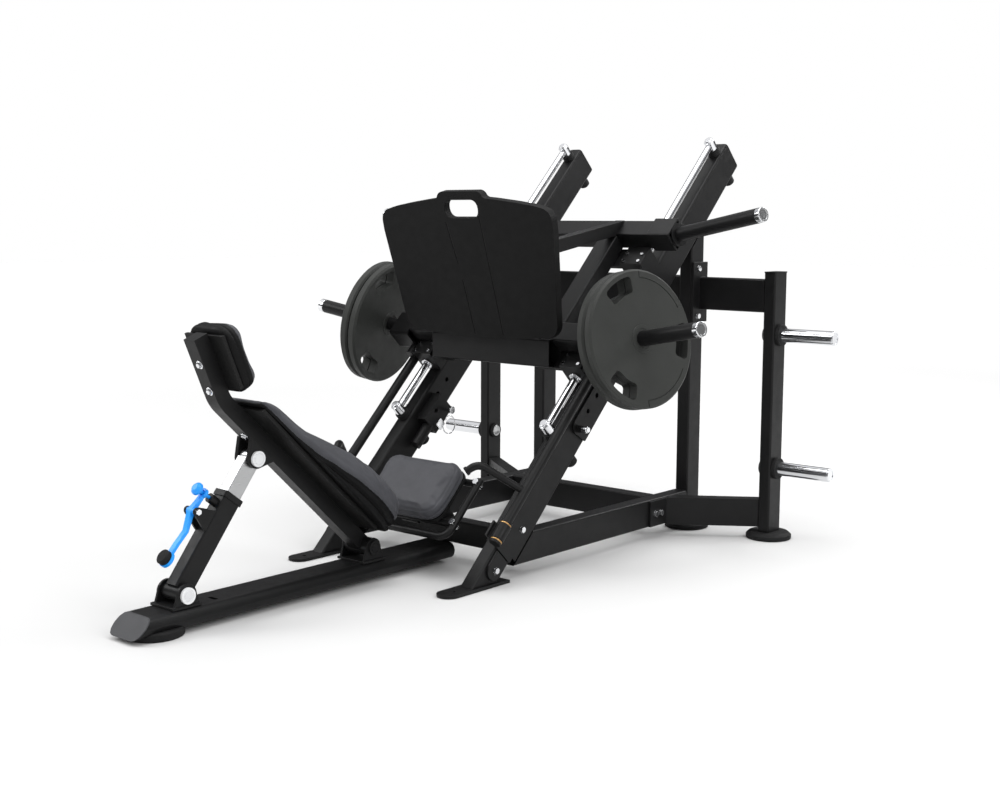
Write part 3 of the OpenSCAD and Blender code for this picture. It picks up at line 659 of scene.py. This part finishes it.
def floor_finish():
    """A matt floor with painted shade: darker close by and nearly white far off, so that under the lamps it looks
    evenly white.
    """
    shade = Shade("pale_floor")
    distance = shade.add("ShaderNodeVectorMath", operation="LENGTH")
    shade.link(shade.coords, distance.inputs[0])
    share = shade.add("ShaderNodeMath", operation="MULTIPLY")
    share.inputs[1].default_value = 1 / FLOOR_REACH
    shade.link(distance.outputs["Value"], share.inputs[0])
    # Painted shade: the floor's colour darkens towards the middle to offset the lamps' light.
    shade.tint(share.outputs["Value"], [(reach / FLOOR_REACH, (tone,) * 3) for reach, tone in FLOOR_PAINTED_SHADE_TONES])
    shade.bump(shade.noise(240, 3, 0.5), 0.0002, 0.1)
    shade.set(roughness=1.0, specular_ior_level=0.0)
    return shade.mat


FLOOR_CORNERS = [(x * FLOOR_HALF, y * FLOOR_HALF, FLOOR_Z) for x, y in ((-1, -1), (1, -1), (1, 1), (-1, 1))]
floor = link_mesh("floor", FLOOR_CORNERS, [(0, 1, 2, 3)], floor_finish(), smooth=False)

# ---------------------------------------------------------------- upholstery
PRESSURE = 4.0
PUFF_FRAMES = 20
SMOOTH_ROUNDS = 3


def prism_rows(rows):
    """Closed mesh from a list of closed outlines with the same number of points."""
    verts = [p for row in rows for p in row]
    count = len(rows[0])
    faces = []
    for i in range(len(rows) - 1):
        for k in range(count):
            k2 = (k + 1) % count
            faces.append((i * count + k, i * count + k2, (i + 1) * count + k2, (i + 1) * count + k))
    faces.append(tuple(range(count))[::-1])
    faces.append(tuple(range((len(rows) - 1) * count, len(rows) * count)))
    return verts, faces


def inflate(obj, cap, held):
    """Lets air pressure round a cushion, its held points fixed and no point moving more than cap."""
    rest = [v.co.copy() for v in obj.data.vertices]
    group = obj.vertex_groups.new(name="held")
    for v in obj.data.vertices:
        if held(v.co):
            group.add([v.index], 1.0, "REPLACE")
    cloth = obj.modifiers.new("cloth", "CLOTH")
    cloth.settings.use_pressure = True
    cloth.settings.uniform_pressure_force = PRESSURE
    cloth.settings.effector_weights.gravity = 0
    cloth.settings.quality = 4
    cloth.settings.mass = 0.3
    cloth.settings.tension_stiffness = 25
    cloth.settings.compression_stiffness = 25
    cloth.settings.vertex_group_mass = "held"
    cloth.point_cache.frame_start = 1
    cloth.point_cache.frame_end = PUFF_FRAMES
    for step in range(1, PUFF_FRAMES + 1):
        scene.frame_set(step)
    bake_modifiers(obj)
    scene.frame_set(1)
    for v, start in zip(obj.data.vertices, rest):
        move = v.co - start
        if move.length > cap:
            v.co = start + move.normalized() * cap
    obj.vertex_groups.clear()


def puff(obj, voxel, cap, held):
    """Remeshes a foam block, inflates it and smooths the result."""
    remesh = obj.modifiers.new("remesh", "REMESH")
    remesh.mode = "VOXEL"
    remesh.voxel_size = voxel
    bake_modifiers(obj)
    inflate(obj, cap, held)
    bm = bmesh.new()
    bm.from_mesh(obj.data)
    for _ in range(SMOOTH_ROUNDS):
        bmesh.ops.smooth_vert(bm, verts=bm.verts, factor=0.5, use_axis_x=True, use_axis_y=True,
                              use_axis_z=True)
    bm.to_mesh(obj.data)
    bm.free()
    sub = obj.modifiers.new("sub", "SUBSURF")
    sub.levels = sub.render_levels = 1
    bake_modifiers(obj)
    obj.data.shade_smooth()


def dress(obj, matrix, shape):
    """Moves each vertex by shape(local point, local normal)."""
    inverse = matrix.inverted()
    turn = inverse.to_3x3()
    normals = [turn @ v.normal for v in obj.data.vertices]
    for v, normal in zip(obj.data.vertices, normals):
        local = inverse @ v.co
        v.co = matrix @ (local + shape(local, normal))
    obj.data.update()


def black_sides(obj, matrix, is_top):
    """Gives the faces that aren't the pad's top the side's vinyl."""
    inverse = matrix.inverted()
    obj.data.materials.append(FINISH["vinyl_side"])
    for face in obj.data.polygons:
        if not is_top((inverse @ face.center) / MM):
            face.material_index = 1


def hand_over_pad(pad, body, node):
    """Parents a finished pad to its body and hides the CAD pad that it replaces."""
    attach(pad, body)
    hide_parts(node)


# The back pad's measures against the height along the tube, all in mm from the recline pivot.
BACK_HALF_WIDTH = [(12, 88), (30, 118), (61, 142), (100, 155), (160, 161), (230, 161), (420, 150), (560, 136),
                   (660, 126), (690, 114), (700, 102)]
BACK_FRONT = [(12, 92), (20, 118), (40, 142), (61, 153), (92, 160), (150, 162), (220, 158), (307, 144),
              (411, 113), (511, 82), (576, 73), (660, 70), (688, 62), (700, 50)]
BACK_REAR = [(12, 74), (20, 58), (34, 44), (50, 37), (700, 37)]
BACK_SEAM = [(12, 92), (80, 88), (162, 87), (269, 80), (364, 65), (455, 50), (546, 44), (700, 46)]
BACK_STATIONS = (14, 18, 24, 32, 45, 61, 80, 100, 125, 155, 190, 230, 275, 320, 365, 411, 460, 511, 560, 610,
                 650, 678, 692, 698)
# Its board's face, how much smaller the block is before it is inflated, and where its rounded ends begin.
BACK_BOARD_TOP = 36
BACK_SHRINK = 5.0
BACK_END_LOW = 60
BACK_END_HIGH = 680
# The largest radii of a cross-section's front and rear corners.
BACK_SHOULDER = 42.0
BACK_HEEL = 10.0
# In metres: the remesh's grain, and the most that air pressure may move a point.
BACK_VOXEL = 0.0052
BACK_PUFF = 0.008
# The sewn channel lies this share of the way from the board to the seam.
CHANNEL_PLACE = 0.52
CHANNEL_DEPTH = 9.0
CHANNEL_WIDTH = 5.5
CHANNEL_FADE = 30
SEAM_DEPTH = 3.2
SEAM_WIDTH = 2.6
ROLL_HEIGHT = 3.0
ROLL_ABOVE = 12
ROLL_WIDTH = 9.0
# Points up to this far above a pad's board are held while it is inflated.
HELD_BAND = 3


def back_section(y):
    """One closed cross-section of the back pad, a little small so that the air pressure fills it out."""
    half = smooth_between(BACK_HALF_WIDTH, y) - BACK_SHRINK
    top = smooth_between(BACK_FRONT, y) - BACK_SHRINK
    low = smooth_between(BACK_REAR, y)
    shoulder = min(BACK_SHOULDER, (top - low) * 0.48)
    heel = min(BACK_HEEL, (top - low) * 0.3)
    x_top = half - shoulder
    x_low = half - 2 - heel
    section = []
    for quarter, x, z, radius in ((0, x_top, top - shoulder, shoulder), (1, -x_top, top - shoulder, shoulder),
                                  (2, -x_low, low + heel, heel), (3, x_low, low + heel, heel)):
        section += arc((x, z), radius, 90 * quarter, 90 * quarter + 90)
    return [(x * MM, y * MM, z * MM) for x, z in section]


def back_relief(p, normal):
    """How the back cover's sewn channel, its seam and the roll above the seam move a point."""
    y, z = p.y / MM, p.z / MM
    seam = smooth_between(BACK_SEAM, y)
    at_end = y < BACK_END_LOW or y > BACK_END_HIGH
    outward = Vector((normal.x, normal.y if at_end else 0, 0))
    channel = BACK_BOARD_TOP + (seam - BACK_BOARD_TOP) * CHANNEL_PLACE
    fade = min(1.0, (seam - BACK_BOARD_TOP) / CHANNEL_FADE)
    move = outward * -CHANNEL_DEPTH * fade * ridge(z - channel, CHANNEL_WIDTH)
    move -= outward * SEAM_DEPTH * ridge(z - seam, SEAM_WIDTH)
    move += outward * ROLL_HEIGHT * ridge(z - seam - ROLL_ABOVE, ROLL_WIDTH)
    if z < BACK_BOARD_TOP:
        move.z += BACK_BOARD_TOP - z
    return move * MM


def back_cushion():
    """The back pad: a charcoal cover that rolls over deep black sides with a sewn channel."""
    verts, faces = prism_rows([back_section(y) for y in BACK_STATIONS])
    pad = link_mesh("back_cushion", verts, faces, FINISH["vinyl"], BACK)
    fix_normals(pad)
    inverse = BACK.inverted()
    held_under = (BACK_BOARD_TOP + HELD_BAND) * MM
    puff(pad, BACK_VOXEL, BACK_PUFF, lambda co: (inverse @ co).z < held_under)
    dress(pad, BACK, back_relief)
    black_sides(pad, BACK, lambda p: p.z > smooth_between(BACK_SEAM, p.y))
    hand_over_pad(pad, "backrest", "back_pad")


# The same kinds of measures for the head pad and the seat, in mm apart from the voxel and the puff.
SLAB_SHRINK = 4.0
SLAB_VOXEL = 0.005
SLAB_PUFF = 0.006
SLAB_BASE = 20
SLAB_CROWN = 2.4
CROWN_WIDTH = 60
STITCH_INSET = 14
STITCH_DEPTH = 2.6
STITCH_WIDTH = 2.6
FACING_UP = 0.4
BAND_PLACE = 0.36
COVER_PLACE = 0.62
SMALLEST_CORNER = 8


def slab_cushion(name, matrix, size, corner, low, high, centre, edge):
    """A flat pad with a crowned face, a stitched edge that is edge mm deep and a seam round its side."""
    width, height = size
    rows = []
    for z, inset in ((low, 7), (low + 4, 2.5), (low + 10, 0), (high - edge, 0), (high - edge * 0.5, 2.2),
                     (high - edge * 0.15, 7), (high, 14)):
        narrower = 2 * (SLAB_SHRINK + inset)
        outline = rounded(width - narrower, height - narrower, max(corner - inset, SMALLEST_CORNER))
        drop = SLAB_SHRINK if z > low + SLAB_BASE else 0
        rows.append([(x * MM, (y + centre) * MM, (z - drop) * MM) for x, y in outline])
    verts, faces = prism_rows(rows)
    pad = link_mesh(name, verts, faces, FINISH["vinyl"], matrix)
    fix_normals(pad)
    inverse = matrix.inverted()
    puff(pad, SLAB_VOXEL, SLAB_PUFF, lambda co: (inverse @ co).z < (low + HELD_BAND) * MM)

    def edge_distance(x, y):
        beyond_x = abs(x) - (width / 2 - corner)
        beyond_y = abs(y - centre) - (height / 2 - corner)
        return corner - math.hypot(max(beyond_x, 0), max(beyond_y, 0)) - min(max(beyond_x, beyond_y), 0)

    def relief(p, normal):
        z = p.z / MM
        inside = edge_distance(p.x / MM, p.y / MM) - STITCH_INSET
        side = math.hypot(normal.x, normal.y)
        band = low + (high - low) * BAND_PLACE
        move = Vector((-normal.x, -normal.y, 0)) * STITCH_DEPTH * ridge(z - band, STITCH_WIDTH) * side
        if normal.z > FACING_UP:
            move.z -= STITCH_DEPTH * ridge(inside, STITCH_WIDTH)
            move.z += SLAB_CROWN * (1 - ridge(max(inside, 0), CROWN_WIDTH))
        if z < low:
            move.z += low - z
        return move * MM

    dress(pad, matrix, relief)
    return pad


back_cushion()

HEAD_LOW = 36
HEAD_HIGH = 98
head_cover_from = HEAD_LOW + (HEAD_HIGH - HEAD_LOW) * COVER_PLACE
head_cushion = slab_cushion("head_cushion", HEAD, size=(190, 212), corner=46, low=HEAD_LOW, high=HEAD_HIGH,
                            centre=112, edge=34)
black_sides(head_cushion, HEAD, lambda p: p.z > head_cover_from)
hand_over_pad(head_cushion, "backrest", "head_pad")

seat_cushion = slab_cushion("seat_cushion", RAIL, size=(340, 222), corner=52, low=69, high=124,
                            centre=91, edge=16)
hand_over_pad(seat_cushion, "frame", "seat_pad")

# ---------------------------------------------------------------- small hardware
# The bolts and rings take their finish from the record's chrome slot, and the storage discs are satin steel. Sizes
# are in mm.
BOLT_RADIUS = 9
BOLT_HEIGHT = 8
REAR_BOLT_X = -8
TUBE_REAR = -24.0
STORAGE_X = 640.0
STORAGE_Y = 1027
STORAGE_Z = (257, 737)
DISC_PROFILE = [(0, 0), (20, 0), (22, 0.8), (22, 1.8), (20.5, 2.6), (17, 2.8), (16, 2.0), (0, 2.0)]
# The eye under each stop body and the split ring of two turns that hangs from it, in the rails' frame.
EYE_AT = (290, 516, -121)
EYE_RADIUS = 9
EYE_STEPS = 24
EYE_BAR = 2.4
RING_RADIUS = 33
RING_DROP = 38
RING_TURN_STEPS = 48
RING_TURNS = 2
RING_START = -1.6
RING_PITCH = 1.6
RING_WIRE = 1.6


def hardware(obj, body):
    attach(obj, body)


def hex_bolt(name, place, body):
    """A washer with a bevelled hexagon head on it, standing along the place's own Z axis."""
    r, h = BOLT_RADIUS, BOLT_HEIGHT
    washer = [(0, 0), (r * 1.35, 0), (r * 1.45, 0.5), (r * 1.45, 1.6), (r * 1.3, 2), (0, 2)]
    head = [(0, 1.8), (r * 0.97, 1.8), (r, 2.4), (r, h - 1.2), (r * 0.84, h), (0, h)]
    hardware(lathe(name + "_washer", washer, FINISH["chrome"], place, 32), body)
    bolt = lathe(name + "_head", head, FINISH["chrome"], place, 6)
    bolt.data.shade_flat()
    hardware(bolt, body)


REARWARD = Matrix.Rotation(math.pi, 4, "X")
REAR_BOLTS = (("head_bolt_upper", HEAD, 129), ("head_bolt_lower", HEAD, 45), ("back_bolt", BACK, 614))
for name, group, along in REAR_BOLTS:
    hex_bolt(name, group @ moved(REAR_BOLT_X, along, TUBE_REAR) @ REARWARD, "backrest")

for side in (1, -1):
    for k, z in enumerate(STORAGE_Z):
        place = axes(Vector((0, side, 0)), Vector((0, 0, 1)), Vector((side, 0, 0)),
                     Vector((side * STORAGE_X, STORAGE_Y, z)) * MM)
        place = place @ Matrix.Rotation(math.pi, 4, "Y")
        disc = lathe(f"storage_disc_{side}_{k}", DISC_PROFILE, FINISH["satin_steel"], place, 40)
        hardware(disc, "frame")

for side in (1, -1):
    eye_at = Vector((side * EYE_AT[0], EYE_AT[1], EYE_AT[2]))
    loop = []
    for i in range(EYE_STEPS):
        angle = math.tau * i / EYE_STEPS
        loop.append((eye_at + Vector((math.cos(angle), 0, math.sin(angle))) * EYE_RADIUS) * MM)
    hardware(sweep(f"ring_eye_{side}", loop, EYE_BAR * MM, FINISH["chrome"], RAIL, closed=True), "frame")
    wire = []
    for i in range(RING_TURNS * RING_TURN_STEPS + 1):
        angle = math.tau * i / RING_TURN_STEPS
        x = RING_START + RING_PITCH * i / RING_TURN_STEPS
        offset = Vector((x, RING_RADIUS * math.sin(angle), RING_RADIUS * math.cos(angle) - RING_DROP))
        wire.append((eye_at + offset) * MM)
    hardware(sweep(f"split_ring_{side}", wire, RING_WIRE * MM, FINISH["chrome"], RAIL, closed=False), "frame")
